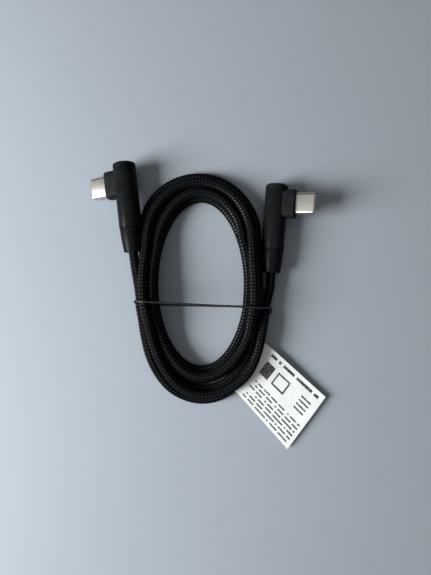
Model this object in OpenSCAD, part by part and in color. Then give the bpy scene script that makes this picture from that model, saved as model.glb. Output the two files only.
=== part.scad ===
// Braided charging cable with a right-angle plug on each end, wound into an
// oval hank. The hank is held by a thin tie and carries a small flag label.
// Everything lies on the plane z = 0, in millimetres, with +Z up.

/* [Metal plug] */
// Width of the plug shell across its rounded sides
shell_w = 8.25; // [8.15:0.05:8.35]
// Thickness of the plug shell
shell_t = 2.4; // [2.3:0.05:2.5]
// Wall of the plug shell
shell_wall = 0.25; // [0.2:0.01:0.3]
// Length of shell that stands out of the collar
shell_reach = 6.8; // [6.6:0.1:7]

/* [Collar] */
// Width of the collar along the barrel
collar_w = 10.4; // [10:0.1:10.6]
// Thickness of the collar
collar_t = 5.6; // [5:0.1:6.2]
// How far the collar stands out of the barrel
collar_reach = 3.5; // [3:0.1:4]
// Radius on the collar's long edges
collar_round = 2; // [1:0.1:2.4]

/* [Barrel] */
// Diameter of the barrel
barrel_d = 8.4; // [8:0.1:8.8]
// Wall of the metal sleeve
sleeve_wall = 0.6; // [0.5:0.05:0.7]
// Thickness of the end cap
cap_t = 1.5; // [1.2:0.1:1.7]
// Chamfer on the end cap's rim
cap_chamfer = 0.4; // [0.2:0.1:0.6]
// Distance from the end cap's face to the middle of the plug
cap_to_plug = 7.1; // [7:0.1:8]
// Distance from the middle of the plug to the strain relief
plug_to_tail = 16.8; // [16:0.1:18]

/* [Strain relief] */
// Length of the tapered part
tail_l = 8.9; // [8:0.1:10]
// Diameter where it meets the sleeve
tail_start_d = 8.2; // [8:0.1:8.4]
// Diameter at the cord end
tail_end_d = 6.8; // [6:0.1:7.4]

/* [Cord] */
// Diameter of the braided cord
cord_d = 3.5; // [3.2:0.1:3.6]

/* [Hank] */
// Height of the wound hank
hank_h = 10; // [8:0.1:11]
// Width of the hank's opening
opening_w = 32.4; // [30:0.2:34]
// Length of the hank's opening
opening_l = 61.9; // [58:0.1:64]

/* [Tie and label] */
// Diameter of the tie
tie_d = 0.7; // [0.6:0.05:0.8]
// Thickness of the folded label
label_t = 0.4; // [0.3:0.05:0.6]
// Slope of the label down from the hank, in degrees
label_slope = 3; // [2:0.5:4]

/* [Hidden] */
$fn = 64;
eps = 0.02;         // gap left round a part that is moulded in
cut = 1;            // how far a cutting tool runs past the face it cuts

// Plug frame: the barrel lies along Y with its end cap towards +Y, the metal
// plug points along +X, and the origin is where the two centre lines cross.
barrel_r = barrel_d / 2;
bore_r = barrel_r - sleeve_wall;
fill_gap = 0.05;
fill_r = bore_r - fill_gap;
collar_end = barrel_r + collar_reach;
shell_end = collar_end + shell_reach;
shell_gap = 0.1;
shell_start = bore_r + shell_gap;
sleeve_top = cap_to_plug - cap_t;
tail_top = -plug_to_tail;
tail_end = tail_top - tail_l;
spigot_l = 1.6;
tail_spigot_l = 2.2;
cord_gap = 0.2;
cord_hole_r = cord_d / 2 + cord_gap;

// Parts inside the plug
carrier_gap = 0.05;                          // clearance between shell and carrier
carrier_start = 5.4;
carrier_setback = 0.6;
carrier_end = shell_end - carrier_setback;
mouth_w = 6.8;                               // room for the socket's tongue
mouth_t = 0.95;
contact_count = 12;
contact_pitch = 0.5;
contact_w = 0.25;
contact_t = 0.11;
contact_start = 4.6;
contact_setback = 1.6;
contact_end = shell_end - contact_setback;
latch_start = 4.8;
latch_setback = 1.9;
latch_end = shell_end - latch_setback;
latch_t = 0.15;
latch_gap = 0.05;
latch_y = mouth_w / 2 + latch_gap;
latch_h = 0.7;
latch_hook = 0.35;
latch_hook_l = 0.5;
spring_w = 5.2;
spring_start = 8.6;
spring_l = 1.6;
spring_t = 0.13;
board_t = 0.7;
board_tongue_w = 6.6;
board_tongue_end = 6.3;
board_half = 2.8;
board_top = 3.6;
board_low = -8;
chip = [2, 3, 0.75];
chip_at = [-0.6, -0.4];
resistor = [0.5, 1, 0.35];
resistor_at = [[-2, 2.6], [-0.8, 2.6], [1.6, -2.6], [1.6, 2.6]];
wire_r = 0.5;
wire_x = 0.65;
wire_z = board_t / 2 + wire_r;
wire_end = -5.5;
ring_start = -11.5;
ring_l = 3;
ring_t = 0.45;
ring_gap = 0.1;
ring_r = cord_d / 2 + ring_gap;
mould_low = tail_top + tail_spigot_l;

// Where each plug lies: its place, the heading of its barrel and its roll
plug_a_at = [-27.7, 13, 6.1];
plug_a_heading = 6.3;
plug_a_roll = 160;
plug_b_at = [28.1, 5.4, barrel_r];
plug_b_heading = -4;
plug_b_roll = -24;

// Where the cord leaves each crimp, and the straight run through the relief
cord_tuck = 0.5;
straight_l = 2;
cord_start = ring_start - cord_tuck;
function on_barrel(at, heading, y) = at + [-y * sin(heading), y * cos(heading), 0];
function straight_run(at, heading) = [
    for (y = [cord_start, tail_top, tail_end, tail_end - straight_l]) on_barrel(at, heading, y)
];
lead_a_route = concat(straight_run(plug_a_at, plug_a_heading), [
    [-24, -19, 6.2], [-23.3, -23, 6.4], [-22.6, -27, 6.7], [-22.1, -31, 6.8], [-21.6, -35, 6.5]
]);
lead_b_route = concat(straight_run(plug_b_at, plug_b_heading), [
    [25.9, -26, 4.1], [25, -30, 3.7], [24, -34, 3.4], [22.8, -38, 3.4]
]);
cord_sides = 8;

// Outlines of the hank as [x, y, half width, half length] of a top and a low half
outer_top = [-0.6, -5, 23.3, 22.8];
outer_low = [0.9, -38, 23.6, 31.2];
opening = [0, -24.5, opening_w / 2, opening_l / 2];
outline_steps = 36;
layer_z = [0, 1.6, hank_h - 2, hank_h];
layer_inset = [0.8, 0, 1.4];

// The tie runs round the waist of the hank in a plane that is turned a little
tie_at = [0.6, -32];
tie_heading = -2.4;
tie_span = 52.6;
tie_low = 0.1;
tie_round = 1.5;
tie_gap = 0.3;

// The label's flap: the middle of its fold, its fold's heading and its corners
label_at = [20.8, -56.7, 2.8];
label_heading = 51.5;
label_corners = [[0, -11.4], [28.6, -16.5], [27.5, 8.1], [0, 9.9]];

// ---- Small helpers -------------------------------------------------------

// Bar along X with flat faces and round sides
module round_sided_bar(w, t, x0, x1) {
    for (side = [-1, 1])
        translate([x0, side * (w - t) / 2, 0])
            rotate([0, 90, 0])
                cylinder(d = t, h = x1 - x0);
    translate([x0, -(w - t) / 2, -t / 2])
        cube([x1 - x0, w - t, t]);
}

// Bar along X with a rounded rectangular section
module soft_bar(w, t, r, x0, x1) {
    translate([x0, 0, 0])
        rotate([90, 0, 90])
            linear_extrude(height = x1 - x0)
                soft_rectangle(w, t, r);
}

module soft_rectangle(w, h, r) {
    square([w - 2 * r, h], center = true);
    square([w, h - 2 * r], center = true);
    for (x = [-1, 1], y = [-1, 1])
        translate([x * (w / 2 - r), y * (h / 2 - r)])
            circle(r = r);
}

// Rod along Y from y0 up to y1
module rod(r, y0, y1) {
    translate([0, y0, 0])
        rotate([-90, 0, 0])
            cylinder(r = r, h = y1 - y0);
}

// Box given by its low and high corners
module block(low, high) {
    translate(low)
        cube(high - low);
}

// Puts a plug's part in its place
module place_a() {
    translate(plug_a_at)
        rotate([0, 0, plug_a_heading])
            rotate([0, plug_a_roll, 0])
                children();
}

module place_b() {
    translate(plug_b_at)
        rotate([0, 0, plug_b_heading])
            rotate([0, plug_b_roll, 0])
                children();
}

// ---- Parts of one plug, in the plug frame --------------------------------

// Drawn steel tube of the plug
module plug_shell() {
    color("silver")
        difference() {
            round_sided_bar(shell_w, shell_t, shell_start, shell_end);
            round_sided_bar(shell_w - 2 * shell_wall, shell_t - 2 * shell_wall,
                shell_start - cut, shell_end + cut);
        }
}

// Plastic carrier that holds the contacts round the mouth
module contact_carrier() {
    inside_w = shell_w - 2 * shell_wall - 2 * carrier_gap;
    inside_t = shell_t - 2 * shell_wall - 2 * carrier_gap;
    slot_y = latch_y + latch_t + eps;
    color("dimgray")
        difference() {
            round_sided_bar(inside_w, inside_t, carrier_start, carrier_end);
            block([carrier_start - cut, -mouth_w / 2, -mouth_t / 2],
                [carrier_end + cut, mouth_w / 2, mouth_t / 2]);
            block([carrier_start - cut, -slot_y, -latch_h / 2 - eps],
                [latch_end + eps, slot_y, latch_h / 2 + eps]);
            for (side = [-1, 1])
                translate([0, 0, side * (inside_t / 2 + cut / 2 - spring_t + eps)])
                    block([spring_start - eps, -spring_w / 2 - eps, -cut / 2],
                        [spring_start + spring_l + eps, spring_w / 2 + eps, cut / 2]);
        }
}

// Two rows of contacts on the flat walls of the mouth
module contacts() {
    row_w = (contact_count - 1) * contact_pitch;
    color("gold")
        for (i = [0:contact_count - 1], side = [-1, 1])
            translate([0, i * contact_pitch - row_w / 2, side * (mouth_t / 2 - contact_t / 2)])
                block([contact_start, -contact_w / 2, -contact_t / 2],
                    [contact_end, contact_w / 2, contact_t / 2]);
}

// Side springs that click into the socket
module latch_springs() {
    color("lightgray")
        for (side = [0, 1])
            mirror([0, side, 0]) {
                block([latch_start, latch_y, -latch_h / 2],
                    [latch_end, latch_y + latch_t, latch_h / 2]);
                block([latch_end - latch_hook_l, latch_y - latch_hook, -latch_h / 2],
                    [latch_end, latch_y + latch_t, latch_h / 2]);
            }
}

// Thin plates that ground the socket's shell
module ground_springs() {
    face = shell_t / 2 - shell_wall - carrier_gap;
    color("lightgray")
        for (side = [0, 1])
            mirror([0, 0, side])
                block([spring_start, -spring_w / 2, face - spring_t + 2 * eps],
                    [spring_start + spring_l, spring_w / 2, face + eps]);
}

// Small circuit board between the contacts and the wires
module plug_board() {
    color("darkgreen") {
        block([-board_half, board_low, -board_t / 2], [board_half, board_top, board_t / 2]);
        block([board_half, -board_tongue_w / 2, -board_t / 2],
            [board_tongue_end, board_tongue_w / 2, board_t / 2]);
    }
}

// Chip and resistors on the board, each grown by gap
module board_parts(gap = 0) {
    color("black") {
        translate([chip_at.x, chip_at.y, board_t / 2])
            block([-chip.x / 2 - gap, -chip.y / 2 - gap, 0],
                [chip.x / 2 + gap, chip.y / 2 + gap, chip.z + gap]);
        for (p = resistor_at)
            translate([p.x, p.y, board_t / 2])
                block([-resistor.x / 2 - gap, -resistor.y / 2 - gap, 0],
                    [resistor.x / 2 + gap, resistor.y / 2 + gap, resistor.z + gap]);
    }
}

// Four insulated wires soldered to the two faces of the board
module core_wires(gap = 0) {
    color("firebrick")
        for (x = [-wire_x, wire_x], z = [-wire_z, wire_z])
            translate([x, 0, z])
                rod(wire_r + gap, ring_start, wire_end + gap);
}

// Plastic cast round the board and wires inside the sleeve
module inner_mould() {
    color("gainsboro")
        difference() {
            rod(fill_r, mould_low, sleeve_top - spigot_l);
            block([-board_half - eps, board_low - eps, -board_t / 2 - eps],
                [barrel_r + cut, board_top + eps, board_t / 2 + eps]);
            board_parts(eps);
            core_wires(eps);
            rod(ring_r + ring_t + eps, mould_low - cut, ring_start + eps);
        }
}

// Plastic collar that carries the metal plug
module collar() {
    color("#2b2b2e")
        difference() {
            soft_bar(collar_w, collar_t, collar_round, 0, collar_end);
            rod(bore_r, -collar_w, collar_w);
            round_sided_bar(shell_w, shell_t, -cut, collar_end + cut);
        }
}

// Metal sleeve of the barrel, with a window for the collar
module barrel_sleeve() {
    color("#1d1d20")
        difference() {
            rod(barrel_r, tail_top, sleeve_top);
            rod(bore_r, tail_top - cut, sleeve_top + cut);
            soft_bar(collar_w, collar_t, collar_round, 0, collar_end + cut);
        }
}

// Cap that plugs the sleeve's end, with a chamfered rim
module end_cap() {
    color("#232326")
        rotate([-90, 0, 0])
            rotate_extrude()
                polygon([
                    [0, sleeve_top - spigot_l], [fill_r, sleeve_top - spigot_l],
                    [fill_r, sleeve_top], [barrel_r, sleeve_top],
                    [barrel_r, cap_to_plug - cap_chamfer],
                    [barrel_r - cap_chamfer, cap_to_plug], [0, cap_to_plug]
                ]);
}

// Ring crimped round the cord's braid
module crimp_ring() {
    color("goldenrod")
        difference() {
            rod(ring_r + ring_t, ring_start - ring_l, ring_start);
            rod(ring_r, ring_start - ring_l - cut, ring_start + cut);
        }
}

// Tapered strain relief with a spigot in the sleeve and a hole for the cord
module strain_relief() {
    color("#202022")
        rotate([-90, 0, 0])
            rotate_extrude()
                polygon([
                    [cord_hole_r, tail_end], [tail_end_d / 2, tail_end],
                    [tail_start_d / 2, tail_top], [fill_r, tail_top],
                    [fill_r, mould_low], [cord_hole_r, mould_low]
                ]);
}

// ---- Cord, tie and label -------------------------------------------------

// Direction of a route at its point i
function heading_at(route, i) =
    let (d = route[min(i + 1, len(route) - 1)] - route[max(i - 1, 0)]) d / norm(d);

// Ring of points square to the route at its point i
function ring_at(route, i, r) =
    let (
        along = heading_at(route, i),
        flat = cross(along, [0, 0, 1]),
        side = flat / norm(flat),
        up = cross(side, along)
    )
    [for (k = [0:cord_sides - 1]) let (a = 360 * k / cord_sides)
        route[i] + r * (cos(a) * side + sin(a) * up)];

// Plain tube swept along a route
module tube(route, r) {
    n = cord_sides;
    last = len(route) - 1;
    rings = [for (i = [0:last]) each ring_at(route, i, r)];
    walls = [for (i = [0:last - 1], k = [0:n - 1]) let (m = (k + 1) % n)
        [i * n + k, (i + 1) * n + k, (i + 1) * n + m, i * n + m]];
    ends = [[for (k = [0:n - 1]) k], [for (k = [n - 1:-1:0]) last * n + k]];
    polyhedron(points = rings, faces = concat(walls, ends));
}

module cord_lead_a() {
    color("#18181b")
        tube(lead_a_route, cord_d / 2);
}

module cord_lead_b() {
    color("#18181b")
        tube(lead_b_route, cord_d / 2);
}

// Half an oval, from angle a0 over 180 degrees
function half_oval(o, a0) = [
    for (i = [0:outline_steps]) let (a = a0 + 180 * i / outline_steps)
        [o[0] + o[2] * cos(a), o[1] + o[3] * sin(a)]
];

function grown(o, by) = [o[0], o[1], o[2] + by, o[3] + by];

// Flat ring between the hank's outer outline and its opening
module hank_ring(inset) {
    difference() {
        polygon(concat(half_oval(grown(outer_top, -inset), 0),
            half_oval(grown(outer_low, -inset), 180)));
        polygon(concat(half_oval(grown(opening, inset), 0),
            half_oval(grown(opening, inset + eps), 180)));
    }
}

// Outer shape of all the turns together, with a groove for the tie
module cord_coil() {
    color("#18181b")
        difference() {
            for (i = [0:2])
                translate([0, 0, layer_z[i]])
                    linear_extrude(height = layer_z[i + 1] - layer_z[i])
                        hank_ring(layer_inset[i]);
            tie_groove();
            barrel_room(plug_a_at, plug_a_heading);
            barrel_room(plug_b_at, plug_b_heading);
        }
}

// Space kept free for a plug's barrel beside the hank
module barrel_room(at, heading) {
    translate(at)
        rotate([0, 0, heading])
            rod(barrel_r + tie_gap, tail_end - tie_gap, cap_to_plug);
}

// The tie's path across the hank, as a closed band of the given size
module tie_band(grow, width) {
    translate([tie_at.x, tie_at.y, 0])
        rotate([0, 0, tie_heading])
            rotate([90, 0, 0])
                translate([0, hank_h / 2, -width / 2])
                    linear_extrude(height = width)
                        difference() {
                            soft_rectangle(tie_span + 2 * grow,
                                hank_h - 2 * tie_low + 2 * grow, tie_round);
                            soft_rectangle(tie_span - 2 * tie_d - 2 * grow,
                                hank_h - 2 * tie_low - 2 * tie_d - 2 * grow, tie_round - tie_d / 2);
                        }
}

module tie_groove() {
    tie_band(tie_gap, tie_d + 2 * tie_gap);
}

module tie() {
    color("#101012")
        tie_band(0, tie_d);
}

// Flap of the label, folded round the lowest outer strand of the hank
module label() {
    color("whitesmoke")
        translate(label_at)
            rotate([0, 0, label_heading - 90])
                rotate([0, label_slope, 0])
                    linear_extrude(height = label_t)
                        polygon(label_corners);
}

place_a() plug_shell();  // plug_shell_a
place_a() contact_carrier();  // contact_carrier_a
place_a() contacts();  // contacts_a
place_a() latch_springs();  // latch_springs_a
place_a() ground_springs();  // ground_springs_a
place_a() plug_board();  // plug_board_a
place_a() board_parts();  // board_parts_a
place_a() core_wires();  // core_wires_a
place_a() inner_mould();  // inner_mould_a
place_a() collar();  // collar_a
place_a() barrel_sleeve();  // barrel_sleeve_a
place_a() end_cap();  // end_cap_a
place_a() crimp_ring();  // crimp_ring_a
place_a() strain_relief();  // strain_relief_a
place_b() plug_shell();  // plug_shell_b
place_b() contact_carrier();  // contact_carrier_b
place_b() contacts();  // contacts_b
place_b() latch_springs();  // latch_springs_b
place_b() ground_springs();  // ground_springs_b
place_b() plug_board();  // plug_board_b
place_b() board_parts();  // board_parts_b
place_b() core_wires();  // core_wires_b
place_b() inner_mould();  // inner_mould_b
place_b() collar();  // collar_b
place_b() barrel_sleeve();  // barrel_sleeve_b
place_b() end_cap();  // end_cap_b
place_b() crimp_ring();  // crimp_ring_b
place_b() strain_relief();  // strain_relief_b
cord_lead_a();
cord_lead_b();
cord_coil();
tie();
label();
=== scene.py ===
import math
from functools import lru_cache

import bmesh
import bpy
import numpy as np
from bpy.props import FloatProperty, FloatVectorProperty, IntProperty, PointerProperty
from mathutils import Matrix, Vector


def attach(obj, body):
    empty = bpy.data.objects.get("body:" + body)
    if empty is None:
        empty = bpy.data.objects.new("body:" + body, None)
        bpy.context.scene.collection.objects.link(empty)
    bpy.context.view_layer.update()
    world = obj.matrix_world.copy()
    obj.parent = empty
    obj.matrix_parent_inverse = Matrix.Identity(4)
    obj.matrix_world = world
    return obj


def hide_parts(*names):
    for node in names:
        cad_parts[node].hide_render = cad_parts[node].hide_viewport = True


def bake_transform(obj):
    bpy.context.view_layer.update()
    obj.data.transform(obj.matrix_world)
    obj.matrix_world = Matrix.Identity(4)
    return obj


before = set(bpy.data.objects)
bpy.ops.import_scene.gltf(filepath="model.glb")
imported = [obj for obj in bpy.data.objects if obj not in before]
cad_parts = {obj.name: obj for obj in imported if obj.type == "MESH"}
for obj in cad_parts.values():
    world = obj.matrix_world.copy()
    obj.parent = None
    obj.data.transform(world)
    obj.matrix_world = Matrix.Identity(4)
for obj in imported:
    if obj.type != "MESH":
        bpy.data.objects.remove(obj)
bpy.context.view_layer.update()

bl_info = {
    "name": "Braided charging cable",
    "version": (1, 0, 0),
    "blender": (4, 5, 0),
    "location": "3D View > Sidebar > Cable",
    "description": "Builds a wound, braided charging cable round its packed CAD model",
    "category": "Object",
}

MM = 0.001
BODY = "cable"

# The soft light from the left: where it is, what it points at and its colour
WINDOW_AT = (-0.4, -0.12, 0.238)
WINDOW_AIM = (0.0, -0.03, 0.0)
WINDOW_COLOUR = (0.97, 0.985, 1.0)
SENSOR = 36

# Where each plug lies: the point where its centre lines cross, the heading of its
# barrel and the roll about it, in degrees. A barrel runs along its own Y, and its
# metal plug along its own X.
PLUGS = {
    "a": (Vector((-0.0277, 0.013, 0.0061)), 6.3, 160.0),
    "b": (Vector((0.0281, 0.0054, 0.0042)), -4.0, -24.0),
}


# ---- Materials ------------------------------------------------------------


class Flow:
    """A socket that Python arithmetic works on: each operation adds its node."""

    def __init__(self, tree, socket=None):
        self.tree = tree
        self.socket = socket

    def node(self, kind, settings=None, sockets=None, out=0):
        """Adds a node, sets it up, fills or links its sockets and returns one output."""
        made = self.tree.nodes.new(kind)
        for key, value in (settings or {}).items():
            setattr(made, key, value)
        for key, value in (sockets or {}).items():
            if isinstance(value, Flow):
                self.tree.links.new(value.socket, made.inputs[key])
            else:
                made.inputs[key].default_value = value
        return Flow(self.tree, made.outputs[out])

    def maths(self, operation, *values, clamp=False):
        return self.node(
            "ShaderNodeMath",
            {"operation": operation, "use_clamp": clamp},
            dict(enumerate(values)),
        )

    def __add__(self, other):
        return self.maths("ADD", self, other)

    def __radd__(self, other):
        return self.maths("ADD", other, self)

    def __sub__(self, other):
        return self.maths("SUBTRACT", self, other)

    def __rsub__(self, other):
        return self.maths("SUBTRACT", other, self)

    def __mul__(self, other):
        return self.maths("MULTIPLY", self, other)

    def __rmul__(self, other):
        return self.maths("MULTIPLY", other, self)

    def __gt__(self, other):
        return self.maths("GREATER_THAN", self, other)

    def __lt__(self, other):
        return self.maths("LESS_THAN", self, other)

    def between(self, low, high):
        """1 where the value lies between low and high, else 0."""
        return (self > low) * (self < high)

    def fract(self):
        return self.maths("FRACT", self)

    def wave(self, turns=1.0):
        """cos(2 pi times turns times the value)."""
        return self.maths("COSINE", self * (2 * math.pi * turns))

    def step(self, low, high, start=0.0, end=1.0):
        """A smooth ramp from start at low to end at high."""
        return self.node(
            "ShaderNodeMapRange",
            {"interpolation_type": "SMOOTHSTEP"},
            {"Value": self, "From Min": low, "From Max": high, "To Min": start, "To Max": end},
        )

    def blend(self, first, second):
        """Mixes two colours by this value."""
        return self.node(
            "ShaderNodeMix",
            {"data_type": "RGBA"},
            {
                0: self,
                6: first if isinstance(first, Flow) else (*first, 1.0),
                7: second if isinstance(second, Flow) else (*second, 1.0),
            },
            out=2,
        )

    def part(self, axis):
        """One coordinate, 0 to 2, of a vector."""
        return self.node("ShaderNodeSeparateXYZ", None, {0: self}, out=axis)

    def moved(self, scale=(1, 1, 1), location=(0, 0, 0), rotation=(0, 0, 0)):
        return self.node(
            "ShaderNodeMapping",
            None,
            {"Vector": self, "Scale": scale, "Location": location, "Rotation": rotation},
        )

    def noise(self, scale, detail=2.0, roughness=0.5):
        return self.node(
            "ShaderNodeTexNoise",
            None,
            {"Vector": self, "Scale": scale, "Detail": detail, "Roughness": roughness},
        )

    def relief(self, depth, strength=1.0):
        """A normal bumped by this height, which is depth metres high at 1."""
        return self.node(
            "ShaderNodeBump", None, {"Height": self, "Distance": depth, "Strength": strength}
        )


def new_finish(name):
    """A material with its shader, and a Flow that adds nodes to it."""
    material = bpy.data.materials.new(name)
    material.use_nodes = True
    return material, material.node_tree.nodes["Principled BSDF"], Flow(material.node_tree)


def fill(shader, varying, fixed):
    """Links what varies over the surface and sets what doesn't on the shader itself."""
    for name, flow in varying.items():
        shader.id_data.links.new(flow.socket, shader.inputs[name])
    for name, value in fixed.items():
        shader.inputs[name].default_value = value


def own_place(start, local):
    """The piece's own coordinates where it has them, else Object coordinates."""
    if local:
        return start.node("ShaderNodeAttribute", {"attribute_name": "local"}, out=1)
    return start.node("ShaderNodeTexCoord", out=3)


def moulded(name, dark, light, rough, grain=0.25 * MM, depth=0.01 * MM, stretch=(1, 1, 1),
            local=True, metallic=0.0, **fixed):
    """A cast, drawn or moulded finish: cloudy tone, uneven gloss and a fine grain."""
    material, shader, start = new_finish(name)
    place = own_place(start, local)
    cloud = place.noise(1 / (4 * MM), 3.0)
    fine = place.moved(scale=stretch).noise(1 / grain, 2.0, 0.6)
    tone = (cloud * 0.6 + fine * 0.4).step(0.35, 0.65)
    varying = {
        "Base Color": tone.blend(dark, light),
        "Roughness": (cloud * 0.5 + fine * 0.5).step(0.3, 0.7, rough[0], rough[1]),
        "Normal": fine.relief(depth),
    }
    fill(shader, varying, {"Metallic": metallic, **fixed})
    return material


def braid_finish(name, picks, colour):
    """Black nylon braid: u runs round the cord and v along it."""
    material, shader, start = new_finish(name)
    uv = start.node("ShaderNodeUVMap")
    around, along = uv.part(0) * YARNS, uv.part(1) * picks
    right, left = around + along, around - along
    # each cell has one yarn on top, right-handed where the two counts add up to even
    right_cell, left_cell = right.maths("ROUND", right), left.maths("ROUND", left)
    right_off, left_off = right - right_cell, left - left_cell
    odd = ((right_cell + left_cell) * 0.5 + 0.25).fract() > 0.5
    across = odd.node("ShaderNodeMix", None, {0: odd, 2: right_off, 3: left_off})
    length = odd.node("ShaderNodeMix", None, {0: odd, 2: left_off, 3: right_off})
    # filaments run along the yarn on top
    strands = (across * FILAMENTS + length * 0.35).wave() * 0.5 + 0.5
    crown = across.wave(0.5) * length.wave(0.5)
    fuzz = start.node("ShaderNodeTexCoord", out=3).noise(1 / (0.22 * MM), 2.0)
    patch = start.node("ShaderNodeTexCoord", out=3).noise(1 / (7 * MM), 2.0)
    # painted light: the base colour is painted pale on the yarns' crowns, most on the yarns of one
    # hand, as the light from one side would pick them out (painted highlight), and near black in
    # the gaps between yarns (painted shade); the same mask also sets the gloss and the coat
    crown_and_painted_light = (crown * 0.62 + strands * 0.22 + fuzz * 0.16).step(0.25, 0.9) * (1.0 - odd * 0.75)
    # the near black of the painted shade in the gaps and on the yarns of the other hand
    painted_shade_black = tuple(c * 0.2 for c in colour)
    pale = tuple(min(1.0, c * 2.2) for c in colour)
    varying = {
        "Base Color": crown_and_painted_light.blend(painted_shade_black, patch.blend(colour, pale)),
        "Roughness": crown_and_painted_light.step(0.0, 1.0, 0.8, 0.5),
        "Coat Weight": crown_and_painted_light.step(0.3, 0.9, 0.0, 0.6),
        "Normal": (crown * 0.7 + strands * 0.2 + fuzz * 0.1).relief(0.16 * MM, 0.8),
    }
    fill(shader, varying, {"Specular IOR Level": 0.05, "Coat Roughness": 0.42})
    return material


def paper_finish(name, colour):
    """Matt pale paper with a faint tooth and slow changes of tone."""
    material, shader, start = new_finish(name)
    place = start.node("ShaderNodeTexCoord", out=3)
    cloud, tooth = place.noise(12.0, 3.0), place.noise(1800.0, 3.0)
    darker = tuple(c * 0.97 for c in colour)
    varying = {
        "Base Color": (cloud * 0.7 + tooth * 0.3).step(0.3, 0.7).blend(darker, colour),
        "Roughness": tooth.step(0.3, 0.7, 0.82, 0.95),
        "Normal": tooth.relief(0.02 * MM, 0.4),
    }
    fill(shader, varying, {"Specular IOR Level": 0.2})
    return material


def film_finish(name, colour, ink, length, width):
    """White label film, with plain bars and blocks where its print would be."""
    material, shader, start = new_finish(name)
    uv = start.node("ShaderNodeUVMap")
    # millimetres along the film from its upper free end, and across it
    down, over = uv.part(1) * (length / MM), uv.part(0) * (width / MM)

    def bar(x0, x1, y0, y1):
        return down.between(x0, x1) * over.between(y0, y1)

    def dashes(x0, x1, y0, y1, pitch, seed):
        """A broken line: dashes of uneven length."""
        far = down * (1 / pitch) + seed
        cells = far.maths("FLOOR", far)
        gap = start.node("ShaderNodeTexWhiteNoise", {"noise_dimensions": "1D"}, {"W": cells})
        return bar(x0, x1, y0, y1) * (gap > 0.22)

    print_on = bar(*PRINT_BARS[0])
    for row in PRINT_BARS[1:]:
        print_on = print_on.maths("MAXIMUM", print_on, bar(*row))
    for row in PRINT_LINES:
        print_on = print_on.maths("MAXIMUM", print_on, dashes(*row))
    place = start.node("ShaderNodeTexCoord", out=3)
    cloud, fine = place.noise(1 / (6 * MM), 3.0), place.noise(1 / (0.3 * MM), 2.0)
    shade = tuple(c * 0.93 for c in colour)
    worn = (fine > 0.36) * print_on
    varying = {
        "Base Color": worn.blend(cloud.step(0.35, 0.65).blend(shade, colour), ink),
        "Roughness": cloud.step(0.3, 0.7, 0.38, 0.5),
        "Normal": (cloud * 0.8 + fine * 0.2).relief(0.03 * MM, 0.6),
    }
    fill(shader, varying, {"Coat Weight": 0.08})
    return material


# ---- Meshes ---------------------------------------------------------------


def add_piece(name, bm, material, place=None, replaces=(), body=BODY, sharp=35.0):
    """Makes a finished object from bm, at the origin, and ties it to the frame."""
    own = bm.verts.layers.float_vector.new("local")
    for vert in bm.verts:
        vert[own] = vert.co
    bmesh.ops.recalc_face_normals(bm, faces=bm.faces)
    for face in bm.faces:
        face.smooth = True
    if place is not None:
        bmesh.ops.transform(bm, matrix=place, verts=bm.verts)
    mesh = bpy.data.meshes.new(name)
    bm.to_mesh(mesh)
    bm.free()
    mesh.set_sharp_from_angle(angle=math.radians(sharp))
    mesh.materials.append(material)
    piece = bpy.data.objects.new(name, mesh)
    bpy.context.scene.collection.objects.link(piece)
    if replaces:
        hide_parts(*replaces)
    if body:
        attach(piece, body)
    return piece


def placing(side):
    """The matrix that puts a plug's own coordinates in the shared frame."""
    at, heading, roll = PLUGS[side]
    return (
        Matrix.Translation(at)
        @ Matrix.Rotation(math.radians(heading), 4, "Z")
        @ Matrix.Rotation(math.radians(roll), 4, "Y")
    )


def rounded(corners, steps=5):
    """Rounds the corners of a closed outline. Each is (x, y, radius), in millimetres."""
    points = []
    count = len(corners)
    for i, (x, y, radius) in enumerate(corners):
        here = Vector((x, y))
        before, after = Vector(corners[i - 1][:2]), Vector(corners[(i + 1) % count][:2])
        if radius == 0:
            points.append(here)
            continue
        back, on = (before - here).normalized(), (after - here).normalized()
        half = back.angle(on) / 2
        reach = radius / math.tan(half)
        centre = here + (back + on).normalized() * (radius / math.sin(half))
        start, end = here + back * reach - centre, here + on * reach - centre
        turn = math.atan2(start.cross(end), start.dot(end))
        for k in range(steps + 1):
            spun = start.copy()
            spun.rotate(Matrix.Rotation(turn * k / steps, 2))
            points.append(centre + spun)
    return points


def turned(outline, steps=72):
    """Spins a closed outline of (radius, y) in millimetres about the Y axis."""
    bm = bmesh.new()
    verts = [bm.verts.new((p.x * MM, p.y * MM, 0)) for p in outline]
    edges = [bm.edges.new((verts[i - 1], verts[i])) for i in range(len(verts))]
    on_axis = [e for e in edges if all(v.co.x < 1e-9 for v in e.verts)]
    bmesh.ops.delete(bm, geom=on_axis, context="EDGES_FACES")
    bmesh.ops.spin(
        bm, geom=bm.verts[:] + bm.edges[:], cent=(0, 0, 0), axis=(0, 1, 0),
        angle=2 * math.pi, steps=steps, use_merge=True, use_duplicate=False,
    )
    bmesh.ops.remove_doubles(bm, verts=bm.verts, dist=1e-7)
    return bm


def bent_grid(across, along, place):
    """A grid whose points are put by place(u, v), arrays from 0 to 1; its UVs are u and v."""
    bm = bmesh.new()
    uv = bm.loops.layers.uv.new("UVMap")
    bmesh.ops.create_grid(bm, x_segments=across, y_segments=along, size=0.5, calc_uvs=False)
    spots = np.array([v.co[:2] for v in bm.verts]) + 0.5
    spots = np.clip(spots, 0, 1)
    for face in bm.faces:
        for loop in face.loops:
            loop[uv].uv = loop.vert.co[0] + 0.5, loop.vert.co[1] + 0.5
    for vert, co in zip(bm.verts, place(spots[:, 0], spots[:, 1])):
        vert.co = co
    return bm


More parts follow.
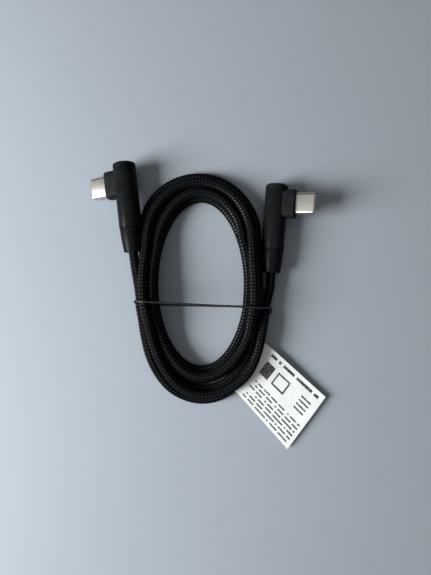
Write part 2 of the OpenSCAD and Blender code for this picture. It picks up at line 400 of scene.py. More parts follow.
def close_seams(bm, caps=True):
    """Merges the edges that meet and fills the holes that are left."""
    bmesh.ops.remove_doubles(bm, verts=bm.verts, dist=1e-6)
    if caps:
        bmesh.ops.holes_fill(bm, edges=[e for e in bm.edges if e.is_boundary], sides=0)
    return bm


# ---- Routes ---------------------------------------------------------------


def lengths(points):
    """How far along the line each point is."""
    steps = np.linalg.norm(np.diff(points, axis=0), axis=1)
    return np.concatenate([[0], np.cumsum(steps)])


def evened(points, step):
    """The same line with its points step apart."""
    far = lengths(points)
    at = np.linspace(0, far[-1], int(round(far[-1] / step)) + 1)
    return np.stack([np.interp(at, far, points[:, k]) for k in range(3)], 1)


def smooth_line(points, step):
    """A smooth curve through every point (Catmull-Rom), with points step apart."""
    ends = np.vstack([2 * points[0] - points[1], points, 2 * points[-1] - points[-2]])
    u = np.linspace(0, 1, 12, endpoint=False)[:, None]
    out = []
    for a, b, c, d in zip(ends, ends[1:], ends[2:], ends[3:]):
        out.append(0.5 * (2 * b + (c - a) * u + (2 * a - 5 * b + 4 * c - d) * u**2
                          + (3 * b - a - 3 * c + d) * u**3))
    return evened(np.vstack(out + [ends[-2]]), step)


def turning_frames(points):
    """Unit tangents, and two unit normals that turn with the line and never twist."""
    tangent = np.gradient(points, axis=0)
    tangent /= np.linalg.norm(tangent, axis=1, keepdims=True)
    side = np.cross(tangent[0], (0.0, 0.0, 1.0))
    sides = []
    for t in tangent:
        side = side - t * side.dot(t)
        side = side / np.linalg.norm(side)
        sides.append(side)
    sides = np.array(sides)
    return tangent, sides, np.cross(tangent, sides)


def tube(route, rings, across, radius):
    """A closed tube on a route; radius(turn, far) gives its radius from 0-1 arrays."""
    far = lengths(route)
    at = np.linspace(0, far[-1], rings + 1)
    line = np.stack([np.interp(at, far, route[:, k]) for k in range(3)], 1)
    _, side, up = turning_frames(line)

    def place(u, v):
        ring = np.rint(v * rings).astype(int)
        angle = 2 * math.pi * u
        spoke = side[ring] * np.cos(angle)[:, None] + up[ring] * np.sin(angle)[:, None]
        return line[ring] + spoke * radius(u, v)[:, None]

    return close_seams(bent_grid(across, rings, place)), line


# ---- The cord -------------------------------------------------------------

CORD_D = 3.5 * MM
YARNS = 8
FILAMENTS = 4.0
PICK = 1.25 * MM
BRAID_DEPTH = 0.15 * MM
BRAID_SINK = 0.75
SAMPLE = 1.3 * MM

# The lead from each plug to the hank, after its straight run through the relief
LEAD_A = (
    (-0.024, -0.019, 0.0062), (-0.0233, -0.023, 0.0064), (-0.0226, -0.027, 0.0067),
    (-0.0221, -0.031, 0.0068), (-0.0216, -0.035, 0.0065),
)
LEAD_B = (
    (0.0259, -0.026, 0.0041), (0.025, -0.03, 0.0037), (0.024, -0.034, 0.0034),
    (0.0228, -0.038, 0.0034),
)
# Distances down a barrel that its cord passes on the axis
STRAIGHT_RUN = (-0.012, -0.0168, -0.0257, -0.0277)

# Outlines of the hank as (x, y, half width, half length), in metres
HANK_TOP = (-0.0006, -0.005, 0.0233, 0.0228)
HANK_LOW = (0.00095, -0.038, 0.02365, 0.0324)
OPENING = (0.0, -0.0245, 0.0162, 0.03095)
HANK_MIDDLE = (0.0, -0.025)

# Where each lap lies at five stations round the hank, as pairs: how far from the outer
# edge (0) to the opening (1), and how many rows up
STATIONS = (
    (190, ((-0.2, 1.7), (-0.2, 0), (0.45, 0.85), (1.1, 0), (1.1, 1.7), (0.45, 2.55))),
    (270, ((0, 0), (1 / 3, 0), (2 / 3, 0), (1, 0.1), (0.8, 1), (0.22, 1))),
    (305, ((0.05, 0), (0.3, 0.4), (0.75, 0), (1, 0.6), (0.72, 1.5), (-0.05, 0.95))),
    (350, ((0.2, 0), (0.2, 1.16), (1, 0), (1, 1.16), (0.6, 2.16), (-0.4, 0.6))),
    (450, ((0, 0), (0.5, 0), (1, 0), (0.75, 0.96), (0.25, 0.96))),
)
ROW_RISE = 0.866
CUT_START, CUT_END = 216, 5 * 360 + 336
SETTLE_ROUNDS = 500
# What each round of settling takes away: shares of a bend, of the way back to the
# planned line, of an overlap, and of a step past the outline or into the opening
EASE_SHARE, HOME_SHARE, PUSH_SHARE = 0.4, 0.01, 1.2
OUTLINE_SHARE, OPENING_SHARE = 0.3, 0.5
# Diameters within which two points count as neighbours, and points over which the
# outlines take hold beside a lead
NEIGHBOUR_REACH = 1.34
WALL_FADE = 20
TIE_Y = -0.032
TIE_ROOM = 0.75 * MM
TIE_SPREAD, WRAP_SPREAD = 0.009, 0.014


def past_outline(x, y, grow):
    """Over 1 outside the hank's outer outline made smaller by grow."""
    up = np.clip((y - HANK_LOW[1]) / (HANK_TOP[1] - HANK_LOW[1]), 0, 1)
    middle = HANK_LOW[0] + (HANK_TOP[0] - HANK_LOW[0]) * up
    half = HANK_LOW[2] + (HANK_TOP[2] - HANK_LOW[2]) * up - grow
    top = (y - HANK_TOP[1]) / (HANK_TOP[3] - grow)
    low = (y - HANK_LOW[1]) / (HANK_LOW[3] - grow)
    rise = np.where(y > HANK_TOP[1], top, np.where(y < HANK_LOW[1], low, 0))
    return np.hypot((x - middle) / half, rise)


def past_opening(x, y, grow):
    """Over 1 outside the hank's opening made larger by grow."""
    return np.hypot(
        (x - OPENING[0]) / (OPENING[2] + grow), (y - OPENING[1]) / (OPENING[3] + grow)
    )


def reach(outline, angle, grow):
    """How far an outline is from the hank's middle at each angle, by halving."""
    near, far = np.full_like(angle, 0.005), np.full_like(angle, 0.06)
    for _ in range(30):
        middle = (near + far) / 2
        x = HANK_MIDDLE[0] + middle * np.cos(angle)
        y = HANK_MIDDLE[1] + middle * np.sin(angle)
        outside = outline(x, y, grow) > 1
        far, near = np.where(outside, middle, far), np.where(outside, near, middle)
    return (near + far) / 2


def wound_laps():
    """The laps of the hank before they settle, from the stations' table."""
    table = np.array(sorted(
        (angle + 360 * lap, *spot) for angle, spots in STATIONS for lap, spot in enumerate(spots)
    ))
    degrees = np.arange(table[0, 0], table[-1, 0] + 1, 2.0)
    last = np.clip(np.searchsorted(table[:, 0], degrees, side="right") - 1, 0, len(table) - 2)
    share = (degrees - table[last, 0]) / (table[last + 1, 0] - table[last, 0])
    share = np.clip(share, 0, 1)
    share = 0.4 * share + 0.6 * share * share * (3 - 2 * share)
    across, row = (
        table[last, k] * (1 - share) + table[last + 1, k] * share for k in (1, 2)
    )
    angle = np.radians(degrees)
    outer = reach(past_outline, angle, CORD_D / 2)
    inner = reach(past_opening, angle, CORD_D / 2)
    out = outer + (inner - outer) * across
    laps = np.stack([
        HANK_MIDDLE[0] + out * np.cos(angle),
        HANK_MIDDLE[1] + out * np.sin(angle),
        CORD_D / 2 + row * ROW_RISE * CORD_D,
    ], 1)
    return laps[(degrees > CUT_START) & (degrees < CUT_END)]


def floor_under(x, y):
    """The lowest that the cord's centre lies: it rides over the tie and the label's wrap."""
    over_tie = TIE_ROOM * np.exp(-(((y - TIE_Y) / TIE_SPREAD) ** 2))
    away = np.hypot(x - LABEL_AT[0], y - LABEL_AT[1])
    low = CORD_D / 2 + BRAID_DEPTH / 4
    return low + over_tie + WRAP_ROOM * np.exp(-((away / WRAP_SPREAD) ** 2))


def settle(line, held_start, held_end):
    """Lets the laps push each other a diameter apart and the bends ease out."""
    count = len(line)
    index = np.arange(count)
    first, second = np.nonzero(np.triu(np.ones((count, count), bool), 6))
    held = (index < held_start) | (index >= count - held_end)
    walls = np.clip(np.minimum(index - held_start, count - 1 - held_end - index) / WALL_FADE, 0, 1)
    rest = line.copy()
    for turn in range(SETTLE_ROUNDS):
        if turn % 10 == 0:
            gap = line[first] - line[second]
            close = (gap * gap).sum(1) < (NEIGHBOUR_REACH * CORD_D) ** 2
            one, other = first[close], second[close]
        new = line.copy()
        bend = np.zeros_like(new)
        bend[1:-1] = (new[:-2] + new[2:]) * 0.5 - new[1:-1]
        ease = np.zeros_like(new)
        ease[1:-1] = (bend[:-2] + bend[2:]) * 0.5 - bend[1:-1]
        new -= ease * EASE_SHARE
        new += (rest - new) * HOME_SHARE
        gap = new[one] - new[other]
        far = np.linalg.norm(gap, axis=1)
        touch = far < CORD_D
        a, b = one[touch], other[touch]
        push = gap[touch] * ((CORD_D - far[touch]) / np.maximum(far[touch], 1e-9) * 0.5)[:, None]
        moves = np.stack([
            np.bincount(a, push[:, k], count) - np.bincount(b, push[:, k], count)
            for k in range(3)
        ], 1)
        hits = np.bincount(a, minlength=count) + np.bincount(b, minlength=count)
        new += moves / np.maximum(hits, 1)[:, None] * PUSH_SHARE
        x, y = new[:, 0], new[:, 1]
        out = past_outline(x, y, CORD_D / 2)
        into = past_opening(x, y, CORD_D / 2)
        shrink = np.where(out > 1, (1 / np.maximum(out, 1) - 1) * OUTLINE_SHARE, 0)
        widen = np.where(into < 1, (1 / np.maximum(into, 0.5) - 1) * OPENING_SHARE, 0)
        for k in (0, 1):
            new[:, k] += (new[:, k] - HANK_MIDDLE[k]) * (shrink + widen) * walls
        new[:, 2] = np.maximum(new[:, 2], floor_under(x, y))
        new[held] = rest[held]
        line = new
        if turn % 20 == 19:
            free = slice(held_start - 1, count - held_end + 1)
            far = lengths(line[free])
            at = np.linspace(0, far[-1], len(far))
            for spots in (line, rest):
                spots[free] = np.stack([np.interp(at, far, spots[free][:, k]) for k in range(3)], 1)
    return line


@lru_cache(maxsize=1)
def cord_route():
    """The whole centre line, from the crimp in plug a to the crimp in plug b."""

    def straight(side):
        place = placing(side)
        return [tuple(place @ Vector((0, y, 0))) for y in STRAIGHT_RUN]

    start = smooth_line(np.array(straight("a") + list(LEAD_A)), SAMPLE)
    end = smooth_line(np.array(list(LEAD_B)[::-1] + straight("b")[::-1]), SAMPLE)
    laps = evened(np.vstack([start[-1:], wound_laps(), end[:1]]), SAMPLE)[1:-1]
    line = np.vstack([start, laps, end])
    held_start = int((start[:, 1] > -0.03).sum())
    held_end = int((end[:, 1] > -0.034).sum())
    loose = slice(held_start - 1, len(line) - held_end + 1)
    for _ in range(12):
        part = line[loose]
        part[1:-1] = part[1:-1] * 0.5 + 0.25 * (part[:-2] + part[2:])
    line = settle(line, held_start, held_end)
    return smooth_line(line[::2], 0.35 * MM)


# ---- The label ------------------------------------------------------------

LABEL_AT = Vector((0.0208, -0.0567, 0.0028))
LABEL_OUT = math.radians(-38.5)
LABEL_SLOPE = math.radians(3.0)
# Corners of the flap in the label's own millimetres: x away from the hank, y along it
FLAP_NEAR = (-11.4, 9.9)
FLAP_FAR = ((28.6, -16.5), (27.5, 8.1))
FILM_T = 0.13 * MM
WRAP_ROOM = 0.3 * MM
WRAP_GAP = 0.1 * MM
LABEL_FLAT = (0.0232, 0.069)
# Plain print, as (from, to) down the film and (from, to) across it, in millimetres
PRINT_BARS = (
    (14.0, 20.4, 12.6, 13.3), (14.0, 20.4, 17.4, 18.1), (14.0, 14.7, 12.6, 18.1),
    (19.7, 20.4, 12.6, 18.1), (22.2, 26.6, 12.4, 18.2), (3.0, 8.0, 12.4, 13.0),
    (3.0, 8.0, 14.0, 14.6), (3.0, 8.0, 15.6, 16.2), (3.0, 8.0, 17.2, 17.8),
)
# Broken lines, with the same four and then the dash pitch and a shift
PRINT_LINES = (
    (1.5, 27.0, 20.6, 21.7, 1.15, 0.2), (2.0, 26.5, 1.2, 1.8, 0.8, 3.3),
    (1.5, 27.0, 2.7, 3.3, 0.8, 7.7), (1.5, 24.0, 4.2, 4.8, 0.8, 12.1),
    (1.5, 27.0, 5.7, 6.3, 0.8, 16.9), (1.5, 25.0, 7.2, 7.8, 0.8, 22.4),
    (1.5, 26.0, 8.7, 9.3, 0.8, 29.5),
)


def label_frame():
    return Matrix.Translation(LABEL_AT) @ Matrix.Rotation(LABEL_OUT, 4, "Z")


def film_path(strand_x, strand_z, near, far, drop, rows):
    """The film's line at one station across it, in the label's own x and z.

    It comes in from the upper free end, goes round the strand and runs out again
    under itself."""
    wrap = CORD_D / 2 + WRAP_GAP
    meet = max(near, strand_x + wrap + 0.6 * MM)
    meet_z = -math.tan(LABEL_SLOPE) * meet
    away = math.hypot(meet - strand_x, meet_z - strand_z)
    towards = math.atan2(meet_z - strand_z, meet - strand_x)
    open_by = math.acos(min(1.0, wrap / away))
    turn = np.linspace(towards + open_by, towards - open_by + 2 * math.pi, rows[1])
    run = np.linspace(1, 0, rows[0])[:, None]
    leaf = meet + (far - meet) * run
    rise = -np.tan(LABEL_SLOPE) * leaf + drop * run**2
    gap = FILM_T * 0.5 + 0.02 * MM
    upper = np.hstack([leaf, rise + gap])
    lower = np.hstack([leaf, rise - gap])[::-1]
    loop = np.stack([strand_x + wrap * np.cos(turn), strand_z + wrap * np.sin(turn)], 1)
    return np.vstack([upper, loop, lower])


def strand_beside(route, frame_matrix, over):
    """Where the outermost low strand is at one station across the label."""
    own = np.array([frame_matrix @ Vector(p) for p in route])
    y = own[:, 1] - over
    hit = np.nonzero((y[:-1] * y[1:] <= 0) & (own[:-1, 2] < 0.1 * MM))[0]
    best = max(hit, key=lambda i: own[i, 0])
    share = y[best] / (y[best] - y[best + 1])
    spot = own[best] * (1 - share) + own[best + 1] * share
    return spot[0], spot[2]


# ---- The tie --------------------------------------------------------------

TIE_GAP = 0.04 * MM
PLY_PITCH = 2.4 * MM
PLY_DEPTH = 0.09 * MM
# The tie's two passes over the opening, as (x, y of the upper pass, y of the lower)
TIE_LEFT = (-0.024, -0.0307, -0.0322)
TIE_RIGHT = (0.016, -0.0328, -0.0332)
TAIL_L = 1.4 * MM
KNOT_Z = 1.9 * MM


def hull(points):
    """The convex hull of flat points, anticlockwise."""
    points = sorted(map(tuple, points))

    def half(run):
        out = []
        for p in run:
            while len(out) > 1 and (
                (out[-1][0] - out[-2][0]) * (p[1] - out[-2][1])
                <= (out[-1][1] - out[-2][1]) * (p[0] - out[-2][0])
            ):
                out.pop()
            out.append(p)
        return out[:-1]

    return np.array(half(points) + half(points[::-1]))


def tie_route(route, diameter):
    """A loop pulled tight round every strand at the waist, with a twist and two tails."""
    y = route[:, 1] - TIE_Y
    hit = np.nonzero((y[:-1] * y[1:] <= 0) & (np.abs(route[:-1, 0]) > 0.012))[0]
    grow = CORD_D / 2 + diameter / 2 + TIE_GAP
    ring = np.linspace(0, 2 * math.pi, 32, endpoint=False)
    spots = np.vstack([
        np.stack([route[i, 0] + grow * np.cos(ring), route[i, 2] + grow * np.sin(ring)], 1)
        for i in hit
    ])
    spots[:, 1] = np.maximum(spots[:, 1], diameter / 2)
    around = hull(spots)
    # start low on the outside of the right bundle and go over the top
    middle = (around[:, 1].max() + around[:, 1].min()) / 2
    start = min(
        (i for i in range(len(around)) if around[i, 0] > 0.02),
        key=lambda i: abs(around[i, 1] - KNOT_Z),
    )
    around = np.roll(around, -start, axis=0)
    around = np.vstack([around, around[:1]])
    flat = evened(np.hstack([around[:, :1], np.zeros((len(around), 1)), around[:, 1:]]), 0.8 * MM)
    share = (flat[:, 0] - TIE_LEFT[0]) / (TIE_RIGHT[0] - TIE_LEFT[0])
    top = TIE_LEFT[1] + share * (TIE_RIGHT[1] - TIE_LEFT[1])
    low = TIE_LEFT[2] + share * (TIE_RIGHT[2] - TIE_LEFT[2])
    upness = np.clip((flat[:, 2] - middle) / (2 * MM), -1, 1) * 0.5 + 0.5
    flat[:, 1] = low + (top - low) * upness
    knot = flat[0].copy()
    # the second end winds once and a half round the first, then both stand out as tails
    first_tail = knot + np.array([0.1, 1.0, -0.2]) * np.linspace(TAIL_L, 0.4 * MM, 5)[:, None]
    wind = np.linspace(0, 3 * math.pi, 14)
    coil = knot + np.stack([
        0.45 * MM + 0.5 * MM * np.cos(wind + math.pi), -0.3 * MM - wind * 0.08 * MM,
        0.2 * MM + 0.55 * MM * np.sin(wind + math.pi),
    ], 1)
    last_tail = coil[-1] + np.array([-0.1, -1.0, -0.3]) * np.linspace(0.5 * MM, TAIL_L, 5)[:, None]
    line = np.vstack([first_tail, flat[1:-1], coil, last_tail])
    line[:, 2] = np.maximum(line[:, 2], diameter / 2)
    return smooth_line(line, 0.2 * MM)


# ---- The plugs ------------------------------------------------------------

# Outlines in millimetres. A turned part's are (radius, distance up the barrel, rounding)
SLEEVE = ((3.6, -16.8, 0.0), (4.2, -16.8, 0.16), (4.2, 5.56, 0.12), (3.6, 5.56, 0.0))
CAP = (
    (0.0, 4.0, 0.0), (3.5, 4.0, 0.2), (3.5, 5.6, 0.0), (4.2, 5.62, 0.12), (4.2, 6.68, 0.1),
    (3.8, 7.1, 0.12), (3.3, 7.1, 0.08), (3.15, 6.96, 0.06), (0.0, 7.0, 0.0),
)
RELIEF = (
    (1.85, -25.7, 0.2), (3.4, -25.7, 0.3), (3.86, -21.2, 8.0), (4.1, -16.84, 0.2),
    (3.5, -16.84, 0.0), (3.5, -14.6, 0.2), (1.85, -14.6, 0.0),
)
COLLAR_X = (3.0, 7.7)
COLLAR_W, COLLAR_T, COLLAR_R = 10.4, 5.6, 2.0
SHELL_W, SHELL_T, SHELL_WALL = 8.25, 2.4, 0.25
SHELL_X = (5.0, 14.5)


def shell_mesh():
    """The drawn steel shell: a flat tube with round sides and a rolled front lip."""
    lip = 0.13
    wall = SHELL_WALL
    start, end = SHELL_X
    mouth = [
        (end - lip + lip * math.sin(a), lip - lip * math.cos(a))
        for a in np.linspace(0, math.pi, 9)
    ]
    stations = [(start, 0.0), (start + 3, 0.0), (end - 1.0, 0.0), (end - 0.5, 0.0)]
    stations += [(x, inset * wall / (2 * lip)) for x, inset in mouth]
    stations += [(end - 0.5, wall), (end - 1.0, wall), (start + 3, wall), (start, wall)]
    stations = np.array(stations + stations[:1])
    around, count = 64, len(stations) - 1
    half = (SHELL_W - SHELL_T) / 2

    def place(u, v):
        spot = stations[np.rint(v * count).astype(int)]
        angle = 2 * math.pi * (u + 0.5 / around)
        radius = SHELL_T / 2 - spot[:, 1]
        side = np.sign(np.cos(angle)) * half
        return MM * np.stack(
            [spot[:, 0], side + radius * np.cos(angle), radius * np.sin(angle)], 1)

    return close_seams(bent_grid(around, count, place), caps=False)


def collar_mesh():
    """The block that carries the metal plug, with soft long edges and a recessed face.

    It is closed: it has no pocket for the shell, so the shell's root runs through it."""
    start, end = COLLAR_X
    bm = bmesh.new()
    bmesh.ops.create_cube(bm, size=1.0)
    bmesh.ops.scale(bm, vec=((end - start) * MM, COLLAR_W * MM, COLLAR_T * MM), verts=bm.verts)
    bmesh.ops.translate(bm, vec=((start + end) / 2 * MM, 0, 0), verts=bm.verts)
    along = [e for e in bm.edges if abs((e.verts[0].co - e.verts[1].co).x) > MM]
    bmesh.ops.bevel(bm, geom=along, offset=COLLAR_R * MM, segments=10, profile=0.5,
                    affect="EDGES", material=-1)
    front = max(bm.faces, key=lambda f: f.calc_center_median().x)
    bmesh.ops.bevel(bm, geom=list(front.edges), offset=0.45 * MM, segments=4, profile=0.5,
                    affect="EDGES", material=-1)
    front = max(bm.faces, key=lambda f: (round(f.normal.x, 3), f.calc_area()))
    bmesh.ops.inset_region(bm, faces=[front], thickness=0.35 * MM, use_even_offset=True)
    bmesh.ops.inset_region(bm, faces=[front], thickness=0.12 * MM, depth=-0.25 * MM,
                           use_even_offset=True)
    return bm


# ---- Settings -------------------------------------------------------------


class StageSettings(bpy.types.PropertyGroup):
    floor_colour: FloatVectorProperty(
        name="Floor", description="Colour of the paper that the cable lies on",
        subtype="COLOR", size=3, min=0, max=1, default=(0.272, 0.302, 0.337))
    camera_at: FloatVectorProperty(
        name="Camera", description="Where the camera is; it looks straight down",
        subtype="TRANSLATION", unit="LENGTH", size=3, default=(0.0055, -0.0258, 0.1663))
    half_view: FloatProperty(
        name="Half view", description="Tangent of half the angle of the frame's long side",
        default=0.665, min=0.1, max=2)
    key_power: FloatProperty(
        name="Window light", description="Power of the soft light from the left",
        subtype="POWER", unit="POWER", default=6.1, min=0)
    key_size: FloatProperty(
        name="Window size", description="Width of the soft light",
        subtype="DISTANCE", unit="LENGTH", default=0.2, min=0.01)
    sky_level: FloatProperty(
        name="Room light", description="Strength of the light that comes from all round",
        default=1.0, min=0, max=5)


class CordSettings(bpy.types.PropertyGroup):
    colour: FloatVectorProperty(
        name="Braid", description="Colour of the nylon yarn",
        subtype="COLOR", size=3, min=0, max=1, default=(0.006, 0.0064, 0.0072))
    sides: IntProperty(
        name="Sides", description="Faces round the cord", default=48, min=24, max=48)


class TieSettings(bpy.types.PropertyGroup):
    diameter: FloatProperty(
        name="Diameter", description="Thickness of the tie",
        subtype="DISTANCE", unit="LENGTH", default=0.0007, min=0.0004, max=0.001)


class LabelSettings(bpy.types.PropertyGroup):
    colour: FloatVectorProperty(
        name="Film", description="Colour of the label's film",
        subtype="COLOR", size=3, min=0, max=1, default=(0.74, 0.76, 0.74))
    ink: FloatVectorProperty(
        name="Ink", description="Colour of the print",
        subtype="COLOR", size=3, min=0, max=1, default=(0.02, 0.02, 0.022))


class PlugSettings(bpy.types.PropertyGroup):
    steel: FloatVectorProperty(
        name="Metal plug", description="Colour of the plated steel",
        subtype="COLOR", size=3, min=0, max=1, default=(0.78, 0.75, 0.67))
    barrel: FloatVectorProperty(
        name="Barrel", description="Colour of the black metal",
        subtype="COLOR", size=3, min=0, max=1, default=(0.005, 0.0053, 0.0058))
    collar: FloatVectorProperty(
        name="Collar", description="Colour of the collar's plastic",
        subtype="COLOR", size=3, min=0, max=1, default=(0.009, 0.0093, 0.0098))


# ---- Operators ------------------------------------------------------------


class CABLE_OT_stage(bpy.types.Operator):
    """Lays the paper floor and sets the camera and the soft light"""

    bl_idname = "cable.stage"
    bl_label = "Stage"

    def execute(self, context):
        scene, stage = context.scene, context.scene.cable_stage
        bm = bmesh.new()
        bmesh.ops.create_grid(bm, x_segments=8, y_segments=8, size=1.5)
        mesh = bpy.data.meshes.new("paper")
        bm.to_mesh(mesh)
        bm.free()
        mesh.materials.append(paper_finish("paper", tuple(stage.floor_colour)))
        floor = bpy.data.objects.new("paper", mesh)
        scene.collection.objects.link(floor)

        camera = bpy.data.objects.new("camera", bpy.data.cameras.new("camera"))
        camera.location = stage.camera_at
        camera.data.sensor_width = SENSOR
        camera.data.lens = SENSOR / 2 / stage.half_view
        camera.data.clip_start = 0.005
        scene.collection.objects.link(camera)
        scene.camera = camera

        window = bpy.data.lights.new("window", "AREA")
        window.energy = stage.key_power
        window.shape = "RECTANGLE"
        window.size = stage.key_size
        window.size_y = stage.key_size * 1.3
        window.color = WINDOW_COLOUR
        lamp = bpy.data.objects.new("window", window)
        lamp.location = WINDOW_AT
        aim = Vector(WINDOW_AIM) - lamp.location
        lamp.rotation_euler = aim.to_track_quat("-Z", "Y").to_euler()
        scene.collection.objects.link(lamp)

        world = bpy.data.worlds.new("room")
        world.use_nodes = True
        sky = world.node_tree.nodes["Background"]
        sky.inputs["Strength"].default_value = stage.sky_level
        # the room has dim walls under a brighter ceiling
        height = Flow(world.node_tree).node("ShaderNodeTexCoord", out=0).part(2)
        room = height.step(0.5, 0.9).blend((0.05, 0.05, 0.05), (0.44, 0.44, 0.44))
        world.node_tree.links.new(room.socket, sky.inputs["Color"])
        scene.world = world
        scene.view_settings.view_transform = "Standard"
        return {"FINISHED"}


class CABLE_OT_cord(bpy.types.Operator):
    """Winds the braided cord into its hank"""

    bl_idname = "cable.cord"
    bl_label = "Cord"

    def execute(self, context):
        cord = context.scene.cable_cord
        route = cord_route()
        total = lengths(route)[-1]
        picks = int(round(total / PICK))

        def braid(u, v):
            right, left = u * YARNS + v * picks, u * YARNS - v * picks
            crown = np.cos(math.pi * (right - np.rint(right)))
            crown = crown * np.cos(math.pi * (left - np.rint(left)))
            return CORD_D / 2 + BRAID_DEPTH * (crown - BRAID_SINK)

        bm, line = tube(route, picks * 2, cord.sides, braid)
        piece = add_piece(
            "cord", bm, braid_finish("braid", picks, tuple(cord.colour)),
            replaces=("cord_coil", "cord_lead_a", "cord_lead_b"), sharp=180)
        [tuple(p) for p in line[::4]] + [tuple(line[-1])]
        return {"FINISHED"}


class CABLE_OT_tie(bpy.types.Operator):
    """Pulls the thin tie round the waist of the hank"""

    bl_idname = "cable.tie"
    bl_label = "Tie"

    def execute(self, context):
        diameter = context.scene.cable_tie.diameter
        route = tie_route(cord_route(), diameter)
        total = lengths(route)[-1]
        plies = total / PLY_PITCH

        def twisted(u, v):
            groove = np.abs(np.cos(2 * math.pi * (u - v * plies)))
            return diameter / 2 - PLY_DEPTH * (1 - groove) ** 2

        bm, line = tube(route, int(total / (0.2 * MM)), 12, twisted)
        finish = moulded("tie_thread", (0.006, 0.006, 0.007), (0.014, 0.014, 0.015),
                         (0.34, 0.46), grain=0.12 * MM, local=False)
        piece = add_piece("tie_thread", bm, finish, replaces=("tie",), sharp=180)
        return {"FINISHED"}


class CABLE_OT_label(bpy.types.Operator):
    """Folds the flag label round its strand"""

    bl_idname = "cable.label"
    bl_label = "Label"

    def execute(self, context):
        label = context.scene.cable_label
        place = label_frame()
        route = cord_route()
        back = place.inverted()
        across, rows = 28, (26, 25)
        film = []
        for over in np.linspace(0, 1, across + 1):
            near_y = (FLAP_NEAR[0] + (FLAP_NEAR[1] - FLAP_NEAR[0]) * over) * MM
            far_x, far_y = (
                (FLAP_FAR[0][k] + (FLAP_FAR[1][k] - FLAP_FAR[0][k]) * over) * MM for k in (0, 1)
            )
            x, z = strand_beside(route, back, near_y)
            lift = (0.5 * over**2 + 0.25 * math.sin(math.pi * over)) * MM
            line = film_path(x, z, 0.2 * MM, far_x, lift, rows)
            out = np.clip(line[:, 0] / far_x, 0, 1)
            film.append(np.stack([line[:, 0], near_y + (far_y - near_y) * out, line[:, 1]], 1))
        film = np.array(film)
        along = film.shape[1] - 1

        def lay(u, v):
            spots = film[np.rint(u * across).astype(int), np.rint(v * along).astype(int)]
            return [place @ Vector(p) for p in spots]

        bm = bent_grid(across, along, lay)
        # the UV's v follows the film's true length
        far = lengths(film[across // 2])
        uv = bm.loops.layers.uv.active
        for face in bm.faces:
            for loop in face.loops:
                u, v = loop[uv].uv
                loop[uv].uv = u, far[int(round(v * along))] / far[-1]
        # the thickness is laid straight down: the lower leaf comes out inside out, and
        # the film is too thin at the sides of its wrap
        bmesh.ops.solidify(bm, geom=bm.faces[:], thickness=FILM_T)
        finish = film_finish("label_film", tuple(label.colour), tuple(label.ink),
                             far[-1], LABEL_FLAT[0])
        piece = add_piece("label_film", bm, finish, replaces=("label",),
                          body=None, sharp=50)
        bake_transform(piece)
        return {"FINISHED"}


class CABLE_OT_barrels(bpy.types.Operator):
    """Turns the sleeve, the end cap and the strain relief of each barrel"""

    bl_idname = "cable.barrels"
    bl_label = "Barrels"

    def execute(self, context):
        black = tuple(context.scene.cable_plug.barrel)
        metal = moulded("barrel_metal", black, tuple(c * 1.5 for c in black), (0.22, 0.28),
                        grain=0.16 * MM, depth=0.001 * MM, stretch=(1, 0.12, 1),
                        **{"Specular IOR Level": 0.035})
        cap = moulded("cap_metal", black, tuple(c * 1.7 for c in black), (0.2, 0.26),
                      grain=0.14 * MM, depth=0.001 * MM, **{"Specular IOR Level": 0.05})
        rubber = moulded("relief_rubber", tuple(c * 0.7 for c in black),
                         tuple(c * 1.2 for c in black), (0.3, 0.42), grain=0.3 * MM,
                         depth=0.008 * MM, **{"Specular IOR Level": 0.035})
        for side in PLUGS:
            place = placing(side)
            for part, outline, finish, slot in (
                ("barrel_sleeve", SLEEVE, metal, "barrel_metal"),
                ("end_cap", CAP, cap, "barrel_metal"),
                ("strain_relief", RELIEF, rubber, "relief_rubber"),
            ):
                add_piece(f"turned_{part}_{side}", turned(rounded(outline)), finish,
                          place, (f"{part}_{side}",))
        return {"FINISHED"}


class CABLE_OT_collars(bpy.types.Operator):
    """Makes the plastic collar that carries each metal plug"""

    bl_idname = "cable.collars"
    bl_label = "Collars"

    def execute(self, context):
        tone = tuple(context.scene.cable_plug.collar)
        plastic = moulded("collar_plastic", tuple(c * 0.8 for c in tone),
                          tuple(c * 1.2 for c in tone), (0.42, 0.6), grain=0.2 * MM,
                          depth=0.01 * MM, stretch=(0.5, 1, 1),
                          **{"Specular IOR Level": 0.035})
        for side in PLUGS:
            add_piece(f"soft_collar_{side}", collar_mesh(), plastic,
                      placing(side), (f"collar_{side}",), sharp=40)
        return {"FINISHED"}


class CABLE_OT_shells(bpy.types.Operator):
    """Draws the steel shell of each metal plug"""

    bl_idname = "cable.shells"
    bl_label = "Steel shells"

    def execute(self, context):
        tone = tuple(context.scene.cable_plug.steel)
        steel = moulded("plug_steel", tuple(c * 0.93 for c in tone), tone, (0.21, 0.26),
                        grain=0.06 * MM, depth=0.0006 * MM, stretch=(0.04, 1, 1), metallic=1.0)
        for side in PLUGS:
            add_piece(f"drawn_shell_{side}", shell_mesh(), steel, placing(side),
                      (f"plug_shell_{side}",), sharp=50)
        return {"FINISHED"}


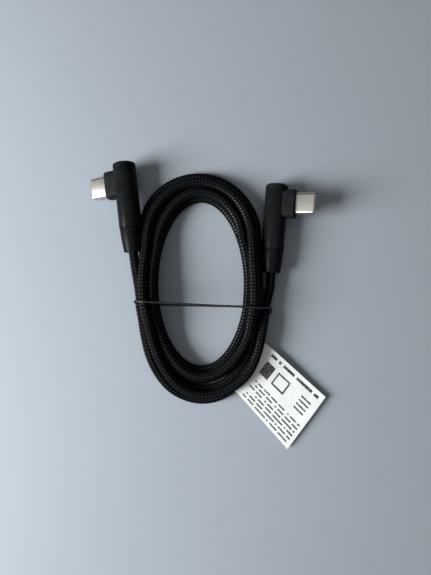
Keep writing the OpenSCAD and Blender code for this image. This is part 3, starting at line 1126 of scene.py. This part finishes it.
class CABLE_OT_insides(bpy.types.Operator):
    """Gives the parts in the mouth and inside each plug their finishes"""

    bl_idname = "cable.insides"
    bl_label = "Insides"

    def execute(self, context):
        finishes = {
            "contact_carrier": moulded("carrier_plastic", (0.012, 0.012, 0.013),
                                       (0.03, 0.03, 0.032), (0.4, 0.55), local=False),
            "contacts": moulded("contact_gold", (0.78, 0.52, 0.2), (0.95, 0.7, 0.33),
                                (0.2, 0.32), metallic=1.0, local=False),
            "latch_springs": moulded("spring_steel", (0.5, 0.5, 0.5), (0.66, 0.66, 0.65),
                                     (0.25, 0.4), metallic=1.0, local=False),
            "plug_board": moulded("board_mask", (0.006, 0.05, 0.02), (0.01, 0.09, 0.035),
                                  (0.3, 0.45), local=False),
            "board_parts": moulded("chip_plastic", (0.01, 0.01, 0.011), (0.03, 0.03, 0.03),
                                   (0.45, 0.6), local=False),
            "core_wires": moulded("wire_plastic", (0.3, 0.015, 0.012), (0.5, 0.03, 0.02),
                                  (0.3, 0.45), local=False),
            "inner_mould": moulded("mould_plastic", (0.5, 0.49, 0.45), (0.66, 0.65, 0.6),
                                   (0.4, 0.6), local=False),
            "crimp_ring": moulded("ring_brass", (0.5, 0.33, 0.13), (0.7, 0.5, 0.24),
                                  (0.28, 0.42), metallic=1.0, local=False),
        }
        finishes["ground_springs"] = finishes["latch_springs"]
        for part, finish in finishes.items():
            for side in PLUGS:
                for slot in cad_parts[f"{part}_{side}"].material_slots:
                    slot.material = finish
        return {"FINISHED"}


class CABLE_PT_sidebar(bpy.types.Panel):
    """Lists what the cable is built from"""

    bl_idname = "CABLE_PT_sidebar"
    bl_label = "Charging cable"
    bl_space_type = "VIEW_3D"
    bl_region_type = "UI"
    bl_category = "Cable"

    def draw(self, context):
        layout = self.layout
        for operator, group in STEPS:
            box = layout.box()
            box.operator(operator.bl_idname)
            if group:
                settings = getattr(context.scene, group)
                for name in settings.__annotations__:
                    box.prop(settings, name)


GROUPS = {
    "cable_stage": StageSettings,
    "cable_cord": CordSettings,
    "cable_tie": TieSettings,
    "cable_label": LabelSettings,
    "cable_plug": PlugSettings,
}
STEPS = (
    (CABLE_OT_stage, "cable_stage"),
    (CABLE_OT_cord, "cable_cord"),
    (CABLE_OT_tie, "cable_tie"),
    (CABLE_OT_label, "cable_label"),
    (CABLE_OT_barrels, "cable_plug"),
    (CABLE_OT_collars, None),
    (CABLE_OT_shells, None),
    (CABLE_OT_insides, None),
)


def register():
    for group in GROUPS.values():
        bpy.utils.register_class(group)
    for operator, _ in STEPS:
        bpy.utils.register_class(operator)
    bpy.utils.register_class(CABLE_PT_sidebar)
    for name, group in GROUPS.items():
        setattr(bpy.types.Scene, name, PointerProperty(type=group))


def unregister():
    for name in GROUPS:
        delattr(bpy.types.Scene, name)
    bpy.utils.unregister_class(CABLE_PT_sidebar)
    for operator, _ in reversed(STEPS):
        bpy.utils.unregister_class(operator)
    for group in reversed(GROUPS.values()):
        bpy.utils.unregister_class(group)


def main():
    register()
    for operator, _ in STEPS:
        area, name = operator.bl_idname.split(".")
        getattr(getattr(bpy.ops, area), name)()


if __name__ == "__main__":
    main()
